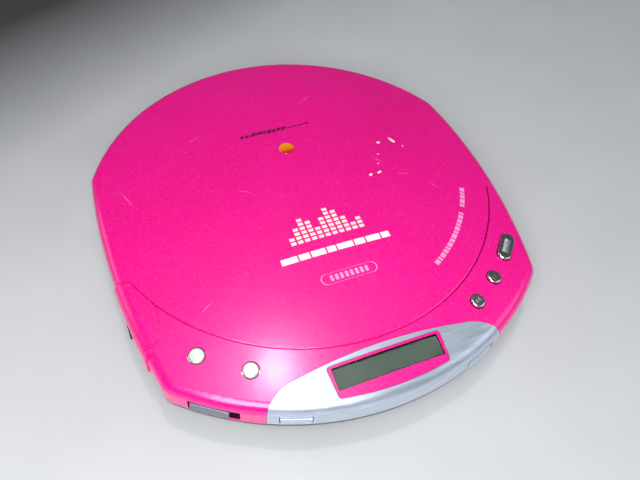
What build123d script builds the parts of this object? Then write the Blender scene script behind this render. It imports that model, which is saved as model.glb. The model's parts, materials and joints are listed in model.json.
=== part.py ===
"""Portable CD player: a round-backed clamshell with a hinged lid, front deck, display and disc mechanism.

Frame: millimetres, +Z up, origin on the table under the middle of the body.
The front faces -Y and +X is right. Every piece is its own solid and is written to its own STEP file.
"""
from build123d import *
import math
import os

# ---------------------------------------------------------------- driving dimensions
HALF_WIDTH = 65.35          # the side walls bow out to this at their middle
HALF_DEPTH = 72.25          # front and rear walls at the centre line
TOTAL_HEIGHT = 28.1         # table to the crown of the lid
REAR_RADIUS = 70.0          # plan radius of the rear wall
SIDE_RADIUS = 236.0         # plan radius of each side wall
FRONT_RADIUS = 86.0         # plan radius of the front wall
SIDE_CENTRE_Y = 3.7         # where the side walls are widest
REAR_CORNER = 4.0           # plan rounding of the rear corners
FRONT_CORNER = 7.0          # plan rounding of the front corners
LEAST_REAR_CORNER = 0.8     # the corners stay at least this round further in
LEAST_FRONT_CORNER = 1.5
CROWN_RADIUS = 400.0        # the lid and the deck are one shallow spherical crown
CROWN_REACH = 95.0          # half width of the block under the crown
EDGE_ROUND = 3.4            # rounding from the crown into the walls

DISC_Y = 9.6                # the lid edge, the well and the spindle share this axis
LID_RADIUS = 65.0           # front edge of the lid
SEAM_GAP = 0.3              # open gap between the lid and the deck
WELL_RADIUS = 61.0

FOOT_HEIGHT = 0.7           # the bottom plate stands this far above the table
SPLIT_Z = 12.0              # joint between lower and upper cabinet
WELL_FLOOR_Z = 16.9
WELL_FLOOR_THICK = 0.8
WELL_UNDERSIDE_Z = WELL_FLOOR_Z - WELL_FLOOR_THICK
RIM_Z = 18.6                # top of the ledge that the lid closes on
LID_LOW_Z = 19.0            # bottom edge of the lid skirt
CABINET_WALL = 2.0
LID_WALL = 1.6
BASE_WALL = 1.5
BASE_INSET = 5.7            # the lower cabinet draws in this far at the bottom
PANEL_THICK = 1.0
WORK_TOP = 40.0             # level above everything, for cutting tools
WORK_REACH = 90.0           # beyond the walls on every side, for cutting tools

HINGE_Y = 69.9
HINGE_Z = 14.2
KNUCKLE_RADIUS = 1.6
HINGE_PIN_RADIUS = 0.75
RUNNING_CLEARANCE = 0.05

BUTTON_CLEARANCE = 0.32
BUTTON_RING = 72.0          # deck buttons lie on this circle about the disc axis
LID_FLARE_Y = -13.2         # the lid edge reaches the side walls here
LID_FLARE_ROUND = 5.0
PANEL_HALF = 37.4           # silver trim: half length, and its upper edge
PANEL_END_Y = -66.4
PANEL_SHOULDER = 33.6
PANEL_SHOULDER_Y = -61.6
PANEL_BROW = 26.0
PANEL_BROW_Y = -58.9
PANEL_TOP_Y = -57.1
WINDOW_HALF_TOP = 17.5      # pink window surround
WINDOW_HALF_LOW = 16.9
WINDOW_TOP_Y = -58.9
WINDOW_LOW_Y = -69.4
WINDOW_BOW = 1.7
WINDOW_CORNER = 1.1
DISPLAY_HALF = 17.1         # opening in the deck under the surround
GLASS_HALF = 16.3           # clear window over the display
GLASS_TOP_Y = -59.6
GLASS_LOW_Y = -65.9
DISPLAY_Y = (-66.8, -59.0)
DISPLAY_FLOOR_Z = 16.5
LEDGE_RING = 62.3           # middle of the ledge that the lid closes on, from the disc axis
SWITCH_ANGLE = 32.0         # lid switch, under the ledge at the front right
FRONT_CENTRE_Y = FRONT_RADIUS - HALF_DEPTH
REAR_CENTRE_Y = HALF_DEPTH - REAR_RADIUS
CROWN_CENTRE_Z = TOTAL_HEIGHT - CROWN_RADIUS

STANDING = (Align.CENTER, Align.CENTER, Align.MIN)

finished = {}


# ---------------------------------------------------------------- shared helpers
def keep(name, part):
    """Label a finished piece and remember it for export."""
    part.label = name
    finished[name] = part


def wall_corner(end_centre_y, end_radius, inset, towards):
    """Right-hand corner where a front or rear wall meets the side wall; towards is +1 rear, -1 front."""
    centre_x = HALF_WIDTH - SIDE_RADIUS
    side = SIDE_RADIUS - inset
    end = end_radius - inset
    gap_y = end_centre_y - SIDE_CENTRE_Y
    gap = math.hypot(centre_x, gap_y)
    along = (gap ** 2 + side ** 2 - end ** 2) / (2 * gap)
    across = math.sqrt(side ** 2 - along ** 2)
    x = centre_x + (-along * centre_x - towards * across * gap_y) / gap
    y = SIDE_CENTRE_Y + (along * gap_y - towards * across * centre_x) / gap
    return x, y


def body_outline(inset, height):
    """Plan outline of the body on a level plane, moved inwards by a wall thickness."""
    rear_x, rear_y = wall_corner(REAR_CENTRE_Y, REAR_RADIUS, inset, 1)
    front_x, front_y = wall_corner(FRONT_CENTRE_Y, FRONT_RADIUS, inset, -1)
    with BuildSketch(Plane.XY.offset(height)) as outline:
        with BuildLine():
            ThreePointArc((-rear_x, rear_y), (0, HALF_DEPTH - inset), (rear_x, rear_y))
            ThreePointArc((rear_x, rear_y), (HALF_WIDTH - inset, SIDE_CENTRE_Y), (front_x, front_y))
            ThreePointArc((front_x, front_y), (0, inset - HALF_DEPTH), (-front_x, front_y))
            ThreePointArc((-front_x, front_y), (inset - HALF_WIDTH, SIDE_CENTRE_Y), (-rear_x, rear_y))
        make_face()
        rear_corners = outline.vertices().filter_by(lambda corner: corner.Y > 0)
        fillet(rear_corners, max(REAR_CORNER - inset, LEAST_REAR_CORNER))
        front_corners = outline.vertices().filter_by(lambda corner: corner.Y < -HALF_DEPTH / 2)
        fillet(front_corners, max(FRONT_CORNER - inset, LEAST_FRONT_CORNER))
    return outline.sketch


def crown_solid(inset, low):
    """A round block under the crown, whose top is the crown moved inwards."""
    crown = CROWN_RADIUS - inset
    reach = CROWN_REACH
    half_height = CROWN_CENTRE_Z + math.sqrt(crown ** 2 - reach ** 2 / 4)
    edge_height = CROWN_CENTRE_Z + math.sqrt(crown ** 2 - reach ** 2)
    with BuildPart() as cap:
        with BuildSketch(Plane.XZ.offset(-DISC_Y)):
            with BuildLine():
                ThreePointArc((0, CROWN_CENTRE_Z + crown), (reach / 2, half_height), (reach, edge_height))
                Polyline((reach, edge_height), (reach, low), (0, low), (0, CROWN_CENTRE_Z + crown))
            make_face()
        revolve(axis=Axis((0, DISC_Y, 0), (0, 0, 1)))
    return cap.part


def body_form(inset, low):
    """The body's outer form above a level, or the same form moved inwards: outline, crown and edge."""
    with BuildPart() as form:
        add(body_outline(inset, low))
        extrude(amount=WORK_TOP - low)
        add(crown_solid(inset, 0), mode=Mode.INTERSECT)
        if inset <= PANEL_THICK:
            rim = form.edges().filter_by(lambda edge: edge.bounding_box().min.Z > low + 1)
            rim = rim.filter_by(lambda edge: abs(edge.tangent_at(0.5).Z) < 0.5)
            outer = HALF_WIDTH * 2 / 3
            rim = rim.filter_by(lambda edge: math.hypot(edge.center().X, edge.center().Y) > outer)
            fillet(rim, EDGE_ROUND - inset)
    return form.part


def lid_region(inset):
    """Plan area of the lid: behind a round front edge that flares out to each side wall."""
    with BuildSketch() as region:
        with Locations((0, DISC_Y)):
            Circle(LID_RADIUS - inset)
        flare_y = LID_FLARE_Y + inset
        with Locations((0, flare_y)):
            Rectangle(3 * HALF_WIDTH, 2 * HALF_DEPTH, align=(Align.CENTER, Align.MIN))
        flares = region.vertices().filter_by(
            lambda corner: abs(corner.Y - flare_y) < 0.01 and abs(corner.X) < HALF_WIDTH
        )
        fillet(flares, LID_FLARE_ROUND + inset)
    return region.sketch


def crown_height(x, y):
    """Height of the outer crown over a plan point."""
    return CROWN_CENTRE_Z + math.sqrt(CROWN_RADIUS ** 2 - x ** 2 - (y - DISC_Y) ** 2)


def deck_plane(angle):
    """Plane on the deck at a button, square to the crown; the angle runs from the front to the right."""
    turn = math.radians(angle)
    x = BUTTON_RING * math.sin(turn)
    y = DISC_Y - BUTTON_RING * math.cos(turn)
    z = crown_height(x, y)
    outward = Vector(x, y - DISC_Y, z - CROWN_CENTRE_Z)
    return Plane(origin=(x, y, z), x_dir=(math.cos(turn), math.sin(turn), 0), z_dir=outward)


def wall_plane(angle, height):
    """Plane standing on the front wall, facing out; the angle runs from the front to the right."""
    turn = math.radians(angle)
    origin = (FRONT_RADIUS * math.sin(turn), FRONT_CENTRE_Y - FRONT_RADIUS * math.cos(turn), height)
    along = (math.cos(turn), math.sin(turn), 0)
    return Plane(origin=origin, x_dir=along, z_dir=(math.sin(turn), -math.cos(turn), 0))


def panel_region(drop):
    """Plan area of the silver trim: a lens along the front edge, moved forwards by a seam's width."""
    brow_y = PANEL_BROW_Y - drop
    end_y = PANEL_END_Y - drop
    with BuildSketch() as region:
        with BuildLine():
            ThreePointArc((-PANEL_BROW, brow_y), (0, PANEL_TOP_Y - drop), (PANEL_BROW, brow_y))
            for side in (-1, 1):
                shoulder = (side * PANEL_SHOULDER, PANEL_SHOULDER_Y - drop)
                ThreePointArc((side * PANEL_BROW, brow_y), shoulder, (side * PANEL_HALF, end_y))
                Line((side * PANEL_HALF, end_y), (side * PANEL_HALF, -WORK_REACH))
            Line((-PANEL_HALF, -WORK_REACH), (PANEL_HALF, -WORK_REACH))
        make_face()
    return region.sketch


def window_region(inset):
    """Plan area of the pink window surround: straight top, drawn-in sides and a bowed bottom."""
    half_top = WINDOW_HALF_TOP - inset
    half_low = WINDOW_HALF_LOW - inset
    top = WINDOW_TOP_Y - inset
    low = WINDOW_LOW_Y + inset
    left_end, right_end = (-half_low, low + WINDOW_BOW), (half_low, low + WINDOW_BOW)
    with BuildSketch() as region:
        with BuildLine():
            Polyline(left_end, (-half_top, top), (half_top, top), right_end)
            ThreePointArc(right_end, (0, low), left_end)
        make_face()
        fillet(region.vertices(), WINDOW_CORNER)
    return region.sketch


def plate(outline, low, high):
    """A level slab of the given plan between two heights."""
    with BuildPart() as slab:
        with BuildSketch(Plane.XY.offset(low)):
            add(outline)
        extrude(amount=high - low)
    return slab.part


def block(x, y, z):
    """A box given by its low and high coordinates on each axis."""
    with BuildPart() as box:
        with Locations(((x[0] + x[1]) / 2, (y[0] + y[1]) / 2, z[0])):
            Box(x[1] - x[0], y[1] - y[0], z[1] - z[0], align=STANDING)
    return box.part


def rod(radius, start, end):
    """A round bar between two points."""
    axis = Vector(*end) - Vector(*start)
    with BuildPart() as bar:
        with BuildSketch(Plane(origin=start, z_dir=axis)):
            Circle(radius)
        extrude(amount=axis.length)
    return bar.part


# ---------------------------------------------------------------- upper cabinet
POD_RAISE = 0.6             # the pod over the headphone jack stands proud of the deck
POD_INNER = (-57.0, -21.6)  # its rounded inner edge runs through these points
POD_MIDDLE = (-55.7, -28.5)
POD_OUTER = (-61.8, -38.4)
POD_REAR_Y = -14.0
HOLLOW_GROWTH = 1.6         # the hollow under the deck stops this far short of the lid
JACK_Y = -25.2
JACK_Z = 14.7
JACK_BORE = 1.8             # 3.5 mm plug
JACK_INNER = 53.2           # inner end of each jack body, from the middle
JACK_OUTER = 61.4
JACK_HALF = 4.2
JACK_TOP = 17.2
JACK_POCKET_GAP = 0.1       # around each jack in the cabinet
DC_BORE = 2.1
FERRULE_RADIUS = 2.5
SIDE_OPENING = FERRULE_RADIUS + 0.05
SIDE_DRILL = (54.0, 70.0)   # drilled from inside the wall to outside the body
SPINDLE_OPENING = 18.0
PICKUP_OPENING_HALF = 14.0
PICKUP_OPENING_END = -50.5
PICKUP_OPENING_ROUND = 4.0
HOOK_ANGLE = -37.4          # lid hook, about the disc axis
HOOK_RING = 62.6
HOOK_LENGTH = 4.0
HOOK_THICK = 1.4
HOOK_SWING = (2.0, 1.2)     # room for the hook along its width and across it
PLUNGER_HOLE = 1.1
DECK_CUT = 4.0              # half depth of a cut through the deck
WALL_CUT = 5.0              # half depth of a cut through the front wall
LEDGE_CUT = 8.0             # height of a cut through the ledge
SLIDER_ANGLE = -35.2        # open slider, about the front wall's centre
SLIDER_HALF = 5.5
SLIDER_TRAVEL = 2.2
SLIDER_Z = 14.7
SLIDER_HEIGHT = 3.6
SLIDER_END_GAP = 1.4        # both ends together
SIDE_BUTTON_ANGLE = 19.6
SIDE_BUTTON_Z = 14.7
SIDE_BUTTON_LENGTH = 8.6
SIDE_BUTTON_HEIGHT = 3.0
HOLD_TRAVEL = 2.0
SIDE_SLOT_LENGTH = SIDE_BUTTON_LENGTH + 2 * BUTTON_CLEARANCE
SIDE_SLOT_HEIGHT = SIDE_BUTTON_HEIGHT + 2 * BUTTON_CLEARANCE
FRONT_SLOTS = ((-SIDE_BUTTON_ANGLE, 0), (SIDE_BUTTON_ANGLE, HOLD_TRAVEL))
ROUND_BUTTON_ANGLES = {
    "volume_down_button": -42.7,
    "volume_up_button": -30.5,
    "skip_back_button": 27.8,
    "skip_forward_button": 36.6,
}
ROUND_BUTTON_RADIUS = 2.25
PLAY_BUTTON_ANGLE = 47.3
PLAY_BUTTON_LENGTH = 10.7
PLAY_BUTTON_WIDTH = 4.5
CASE_SCREWS = [(-34, -36), (34, -36), (-53, 14), (53, 14), (-38, 48), (38, 48)]
BOSS_RADIUS = 2.6
SCREW_RADIUS = 1.0
HINGE_EAR = (5.8, 10.9)     # each lid arm lies between these distances from the middle
HINGE_GAP = 0.35
HINGE_SLOT_Y = 67.5         # front of the slots for the lid arms
EAR_END = 14.5
EAR_Y = (67.6, 70.8)
HINGE_REAR_HALF = 17.0      # behind the hinge the rear wall stops lower, for the lid's swing
HINGE_REAR_TOP = 18.0


def pod_region():
    """Plan area of the almond-shaped pod at the left edge of the deck."""
    with BuildSketch() as region:
        with BuildLine():
            Spline(POD_INNER, POD_MIDDLE, POD_OUTER, tangents=((0.4, -0.9), (-0.9, -0.45)))
            beyond = -WORK_REACH
            Polyline(
                POD_OUTER,
                (beyond, POD_OUTER[1]),
                (beyond, POD_REAR_Y),
                (POD_INNER[0], POD_REAR_Y),
                POD_INNER,
            )
        make_face()
    return region.sketch


def ear_slot(side):
    """Ends, along X, of the slot that one lid arm swings in."""
    return sorted((side * (HINGE_EAR[0] - HINGE_GAP), side * (HINGE_EAR[1] + HINGE_GAP)))


def ring_point(radius, angle):
    """Plan point on a circle about the disc axis; the angle runs from the front to the right."""
    turn = math.radians(angle)
    return radius * math.sin(turn), DISC_Y - radius * math.cos(turn)


outer_form = body_form(0, SPLIT_Z)
panel_form = body_form(PANEL_THICK, SPLIT_Z)

with BuildPart() as upper_cabinet:
    add(outer_form)
    # The pod over the jack.
    with BuildPart(mode=Mode.PRIVATE) as pod:
        add(body_form(-POD_RAISE, SPLIT_Z))
        add(plate(pod_region(), SPLIT_Z, WORK_TOP), mode=Mode.INTERSECT)
    add(pod.part)
    # Everything the lid covers, down to the ledge it closes on.
    add(plate(lid_region(-SEAM_GAP), RIM_Z, WORK_TOP), mode=Mode.SUBTRACT)
    # The hollow under the deck and under the well floor.
    with BuildPart(mode=Mode.PRIVATE) as hollow:
        add(body_form(CABINET_WALL, SPLIT_Z - 1))
        add(plate(lid_region(-SEAM_GAP - HOLLOW_GROWTH), 0, WORK_TOP), mode=Mode.SUBTRACT)
    add(hollow.part, mode=Mode.SUBTRACT)
    add(plate(body_outline(CABINET_WALL, 0), SPLIT_Z - 1, WELL_UNDERSIDE_Z), mode=Mode.SUBTRACT)
    # The disc well, with the opening over the mechanism.
    with Locations((0, DISC_Y, WELL_FLOOR_Z)):
        Cylinder(WELL_RADIUS, WORK_TOP, align=STANDING, mode=Mode.SUBTRACT)
    with BuildSketch(Plane.XY.offset(WELL_FLOOR_Z)) as mechanism_opening:
        with Locations((0, DISC_Y)):
            Circle(SPINDLE_OPENING)
        with Locations((0, (DISC_Y + PICKUP_OPENING_END) / 2)):
            Rectangle(2 * PICKUP_OPENING_HALF, DISC_Y - PICKUP_OPENING_END)
        corners = mechanism_opening.vertices()
        end_corners = corners.filter_by(lambda corner: corner.Y < PICKUP_OPENING_END + 1)
        fillet(end_corners, PICKUP_OPENING_ROUND)
    extrude(amount=DECK_CUT, both=True, mode=Mode.SUBTRACT)
    # The trim's seat and the display opening.
    with BuildPart(mode=Mode.PRIVATE) as seat:
        add(plate(panel_region(0), SPLIT_Z - 2, WORK_TOP))
        add(panel_form, mode=Mode.SUBTRACT)
    add(seat.part, mode=Mode.SUBTRACT)
    add(block((-DISPLAY_HALF, DISPLAY_HALF), DISPLAY_Y, (DISPLAY_FLOOR_Z, WORK_TOP)), mode=Mode.SUBTRACT)
    # Button holes, square to the deck.
    for angle in ROUND_BUTTON_ANGLES.values():
        with BuildSketch(deck_plane(angle)):
            Circle(ROUND_BUTTON_RADIUS + BUTTON_CLEARANCE)
        extrude(amount=DECK_CUT, both=True, mode=Mode.SUBTRACT)
    with BuildSketch(deck_plane(PLAY_BUTTON_ANGLE)):
        SlotOverall(PLAY_BUTTON_LENGTH + 2 * BUTTON_CLEARANCE, PLAY_BUTTON_WIDTH + 2 * BUTTON_CLEARANCE)
    extrude(amount=DECK_CUT, both=True, mode=Mode.SUBTRACT)
    # Slots in the front wall.
    with BuildSketch(wall_plane(SLIDER_ANGLE, SLIDER_Z)):
        with Locations((SLIDER_TRAVEL / 2, 0)):
            Rectangle(
                2 * SLIDER_HALF + SLIDER_TRAVEL + SLIDER_END_GAP,
                SLIDER_HEIGHT + 2 * BUTTON_CLEARANCE,
            )
    extrude(amount=WALL_CUT, both=True, mode=Mode.SUBTRACT)
    for angle, extra in FRONT_SLOTS:
        with BuildSketch(wall_plane(angle, SIDE_BUTTON_Z)):
            Rectangle(SIDE_SLOT_LENGTH + extra, SIDE_SLOT_HEIGHT)
        extrude(amount=WALL_CUT, both=True, mode=Mode.SUBTRACT)
    # Jack openings in the side walls.
    for side in (-1, 1):
        drill_start, drill_end = ((side * reach, JACK_Y, JACK_Z) for reach in SIDE_DRILL)
        add(rod(SIDE_OPENING, drill_start, drill_end), mode=Mode.SUBTRACT)
        ends = sorted((side * (JACK_INNER - 2 * JACK_POCKET_GAP), side * (JACK_OUTER + JACK_POCKET_GAP)))
        half = JACK_HALF + JACK_POCKET_GAP
        pocket = block(ends, (JACK_Y - half, JACK_Y + half), (SPLIT_Z, JACK_TOP + JACK_POCKET_GAP))
        add(pocket, mode=Mode.SUBTRACT)
    # The hole the lid hook drops through.
    with Locations(Location((*ring_point(HOOK_RING, HOOK_ANGLE), WELL_FLOOR_Z), (0, 0, HOOK_ANGLE))):
        Box(HOOK_LENGTH + HOOK_SWING[0], HOOK_THICK + HOOK_SWING[1], LEDGE_CUT, mode=Mode.SUBTRACT)
    # The hole for the lid switch's plunger.
    with Locations((*ring_point(LEDGE_RING, SWITCH_ANGLE), WELL_FLOOR_Z)):
        Cylinder(PLUNGER_HOLE, LEDGE_CUT, mode=Mode.SUBTRACT)
    # Screw bosses under the well floor.
    with BuildSketch(Plane.XY.offset(SPLIT_Z)):
        with Locations(*CASE_SCREWS):
            Circle(BOSS_RADIUS)
            Circle(SCREW_RADIUS + RUNNING_CLEARANCE, mode=Mode.SUBTRACT)
    extrude(amount=WELL_UNDERSIDE_Z - SPLIT_Z)
    # Hinge: a lowered rear wall, bearing blocks, and slots for the lid arms.
    behind_hinge = block(
        (-HINGE_REAR_HALF, HINGE_REAR_HALF), (WELL_RADIUS, WORK_REACH), (HINGE_REAR_TOP, WORK_TOP)
    )
    add(behind_hinge, mode=Mode.SUBTRACT)
    add(block((-EAR_END, EAR_END), EAR_Y, (SPLIT_Z, WELL_UNDERSIDE_Z)))
    for side in (-1, 1):
        add(block(ear_slot(side), (HINGE_SLOT_Y, WORK_REACH), (SPLIT_Z - 1, WORK_TOP)), mode=Mode.SUBTRACT)
    add(
        rod(HINGE_PIN_RADIUS, (-EAR_END + 1, HINGE_Y, HINGE_Z), (EAR_END - 1, HINGE_Y, HINGE_Z)),
        mode=Mode.SUBTRACT,
    )
keep("upper_cabinet", upper_cabinet.part)


# ---------------------------------------------------------------- lower cabinet
BASE_RIM = 1.1              # the rim of the lower cabinet is upright for this height
BASE_RIM_INSET = 0.15
BASE_PROFILE = [(SPLIT_Z - BASE_RIM, BASE_RIM_INSET), (4.6, 4.0), (FOOT_HEIGHT, BASE_INSET)]
HOLLOW_PROFILE = [(SPLIT_Z + 0.5, 1.75), (5.4, 5.1), (FOOT_HEIGHT + BASE_WALL, BASE_INSET + 0.8)]
SPLIT_GAP = 0.1
FOOT_RADIUS = 4.0
FOOT_RECESS = 0.4
FEET = [(-40, -44), (40, -44), (-46, 28), (46, 28)]
POST_FOOT_Z = FOOT_HEIGHT + 1
CELL_RADIUS = 6.9
CELL_ROWS = (36.6, 51.4)
CELL_Z = 9.05
CELL_HALF = 24.6
CELL_NUB = 1.3
CELL_NUB_RADIUS = 2.6
BAY_HALF = 27.2             # battery opening in the bottom
BAY_Y = (29.5, 58.5)
DOOR_HALF = 27.7
DOOR_Y = (29.1, 59.1)
DOOR_Z = (0.75, 1.75)
DOOR_TRAVEL = 3.0
DOOR_GAP = 0.3
DOOR_TONGUE = 28.6          # the door's side tongues reach this far
TONGUE_Z = (1.1, 1.5)
GROOVE_GAP = 0.1            # above and below the tongues
RIB_Y = 35.0                # middle of the thumb ribs
RIB_DEPTH = 0.35
DAMPERS = [(-24, 20), (24, 20), (-18.5, -51.5)]
DAMPER_POST = 1.9
DAMPER_POST_TOP = 11.6
DAMPER_PILOT = 0.95
HEAD_RADIUS = 1.9
HEAD_HEIGHT = 1.2
HEAD_SEAT_Z = 2.8
HEAD_GAP = 0.3
SCREW_LENGTH = 12.5
CROSS_SLOT = (2.2, 0.5)
CROSS_DEPTH = 0.7
HOLDER_HALF = 28.6
HOLDER_Y = (28.2, 59.8)
HOLDER_Z = (2.3, WELL_UNDERSIDE_Z - 0.1)
HOLDER_BAY_HALF = 27.35
HOLDER_BAY_Y = (29.4, 58.6)
DIVIDER_Y = (43.7, 44.3)
DIVIDER_Z = (4.0, 8.0)
CONTACT_X = (26.9, 27.3)
CONTACT_Z = (3.0, 14.0)
CONTACT_HALF = 5.0
COIL_RADIUS = 3.2
COIL_BORE = 2.5

with BuildPart() as lower_cabinet:
    for height, inset in BASE_PROFILE:
        add(body_outline(inset, height))
    loft()
    add(body_outline(BASE_RIM_INSET, SPLIT_Z - BASE_RIM))
    extrude(amount=BASE_RIM - SPLIT_GAP)
    with BuildPart(mode=Mode.PRIVATE) as tray:
        for height, inset in HOLLOW_PROFILE:
            add(body_outline(inset, height))
        loft()
    add(tray.part, mode=Mode.SUBTRACT)
    # Screw posts and the posts that carry the mechanism.
    with BuildSketch(Plane.XY.offset(POST_FOOT_Z)):
        with Locations(*CASE_SCREWS):
            Circle(BOSS_RADIUS + 0.5)
    extrude(amount=SPLIT_Z - SPLIT_GAP - POST_FOOT_Z)
    with BuildSketch(Plane.XY.offset(POST_FOOT_Z)):
        with Locations(*DAMPERS):
            Circle(DAMPER_POST)
    extrude(amount=DAMPER_POST_TOP - POST_FOOT_Z)
    with Locations(*[(x, y, DAMPER_POST_TOP) for x, y in DAMPERS]):
        Hole(DAMPER_PILOT, DAMPER_POST_TOP / 2)
    with BuildSketch(Plane.XY):
        with Locations(*CASE_SCREWS):
            Circle(HEAD_RADIUS + HEAD_GAP)
    extrude(amount=HEAD_SEAT_Z, mode=Mode.SUBTRACT)
    with BuildSketch(Plane.XY):
        with Locations(*CASE_SCREWS):
            Circle(SCREW_RADIUS + RUNNING_CLEARANCE)
    extrude(amount=SPLIT_Z + 1, mode=Mode.SUBTRACT)
    # Seats for the feet.
    with BuildSketch(Plane.XY):
        with Locations(*FEET):
            Circle(FOOT_RADIUS + 0.1)
    extrude(amount=FOOT_HEIGHT + FOOT_RECESS, mode=Mode.SUBTRACT)
    # Battery opening, the door's seat, its finger recess and the grooves its tongues run in.
    add(block((-BAY_HALF, BAY_HALF), BAY_Y, (0, FOOT_HEIGHT + 2 * BASE_WALL)), mode=Mode.SUBTRACT)
    seat_front = DOOR_Y[0] - DOOR_TRAVEL - DOOR_GAP
    seat_half = DOOR_HALF + DOOR_GAP
    seat_y = (seat_front, DOOR_Y[1] + DOOR_GAP)
    add(block((-seat_half, seat_half), seat_y, (0, DOOR_Z[1] + 0.1)), mode=Mode.SUBTRACT)
    groove_half = DOOR_TONGUE + DOOR_GAP
    groove_z = (TONGUE_Z[0] - GROOVE_GAP, TONGUE_Z[1] + GROOVE_GAP)
    add(block((-groove_half, groove_half), (seat_front, DOOR_Y[1] - 7), groove_z), mode=Mode.SUBTRACT)
    # A notch in the rim lets the lid arms swing.
    for side in (-1, 1):
        notch = block(ear_slot(side), (HINGE_SLOT_Y, WORK_REACH), (SPLIT_Z - 0.8, SPLIT_Z + 1))
        add(notch, mode=Mode.SUBTRACT)
keep("lower_cabinet", lower_cabinet.part)

with BuildPart() as rubber_feet:
    with BuildSketch():
        with Locations(*FEET):
            Circle(FOOT_RADIUS)
    extrude(amount=FOOT_HEIGHT + FOOT_RECESS)
    fillet(rubber_feet.edges().group_by(Axis.Z)[0], 0.4)
keep("rubber_feet", rubber_feet.part)

with BuildPart() as case_screws:
    with BuildSketch(Plane.XY.offset(HEAD_SEAT_Z - HEAD_HEIGHT)):
        with Locations(*CASE_SCREWS):
            Circle(HEAD_RADIUS)
    extrude(amount=HEAD_HEIGHT)
    with BuildSketch(Plane.XY.offset(HEAD_SEAT_Z)):
        with Locations(*CASE_SCREWS):
            Circle(SCREW_RADIUS)
    extrude(amount=SCREW_LENGTH)
    with BuildSketch(Plane.XY.offset(HEAD_SEAT_Z - HEAD_HEIGHT)):
        with Locations(*CASE_SCREWS):
            Rectangle(*CROSS_SLOT)
            Rectangle(*reversed(CROSS_SLOT))
    extrude(amount=CROSS_DEPTH, mode=Mode.SUBTRACT)
keep("case_screws", case_screws.part)

with BuildPart() as battery_door:
    add(block((-DOOR_HALF, DOOR_HALF), DOOR_Y, DOOR_Z))
    fillet(battery_door.edges().filter_by(Axis.Z), 1.0)
    for side in (-1, 1):
        tongue = sorted((side * (DOOR_HALF - 0.5), side * DOOR_TONGUE))
        add(block(tongue, (DOOR_Y[0] + 1, DOOR_Y[1] - 8), TONGUE_Z))
    # Grip ribs for a thumb.
    with BuildSketch(Plane.XY.offset(DOOR_Z[0])):
        with Locations((0, RIB_Y)):
            with GridLocations(0, 1.6, 1, 4):
                SlotOverall(12, 0.7)
    extrude(amount=RIB_DEPTH, mode=Mode.SUBTRACT)
keep("battery_door", battery_door.part)

with BuildPart() as battery_holder:
    add(block((-HOLDER_HALF, HOLDER_HALF), HOLDER_Y, HOLDER_Z))
    fillet(battery_holder.edges().filter_by(Axis.Z), 3.0)
    holder_bay = (-HOLDER_BAY_HALF, HOLDER_BAY_HALF)
    add(block(holder_bay, HOLDER_BAY_Y, (0, WORK_TOP)), mode=Mode.SUBTRACT)
    add(block(holder_bay, DIVIDER_Y, DIVIDER_Z))
keep("battery_holder", battery_holder.part)

with BuildPart() as battery_cells:
    for row, facing in zip(CELL_ROWS, (1, -1)):
        add(rod(CELL_RADIUS, (-CELL_HALF, row, CELL_Z), (CELL_HALF, row, CELL_Z)))
        nub_end = facing * (CELL_HALF + CELL_NUB)
        add(rod(CELL_NUB_RADIUS, (facing * CELL_HALF, row, CELL_Z), (nub_end, row, CELL_Z)))
keep("battery_cells", battery_cells.part)

with BuildPart() as battery_contacts:
    for row, facing in zip(CELL_ROWS, (1, -1)):
        for side in (-1, 1):
            leaf = sorted(side * x for x in CONTACT_X)
            add(block(leaf, (row - CONTACT_HALF, row + CONTACT_HALF), CONTACT_Z))
        spring_end = -facing * CONTACT_X[0]
        spring_start = -facing * (CELL_HALF + 0.1)
        with BuildPart(mode=Mode.PRIVATE) as coil:
            add(rod(COIL_RADIUS, (spring_start, row, CELL_Z), (spring_end, row, CELL_Z)))
            add(rod(COIL_BORE, (spring_start, row, CELL_Z), (spring_end, row, CELL_Z)), mode=Mode.SUBTRACT)
        add(coil.part)
keep("battery_contacts", battery_contacts.part)

# ---------------------------------------------------------------- lid
LINER_THICK = 0.8
LINER_RADIUS = 59.5
BADGE_Y = 18.6
BADGE_RADIUS = 2.7
BADGE_SEAT_Z = 27.45
LID_EDGE_ROUND = 0.5
KEEPER_LOW_Z = 22.4
KEEPER_RADII = (11.0, 8.6)
HOOK_LOW_Z = 13.0
SWITCH_POST_LOW_Z = 19.8
PIN_END_GAP = 1.1           # each end of the pin stops this far inside the bearing blocks
PLUNGER_RADIUS = 0.75

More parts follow.
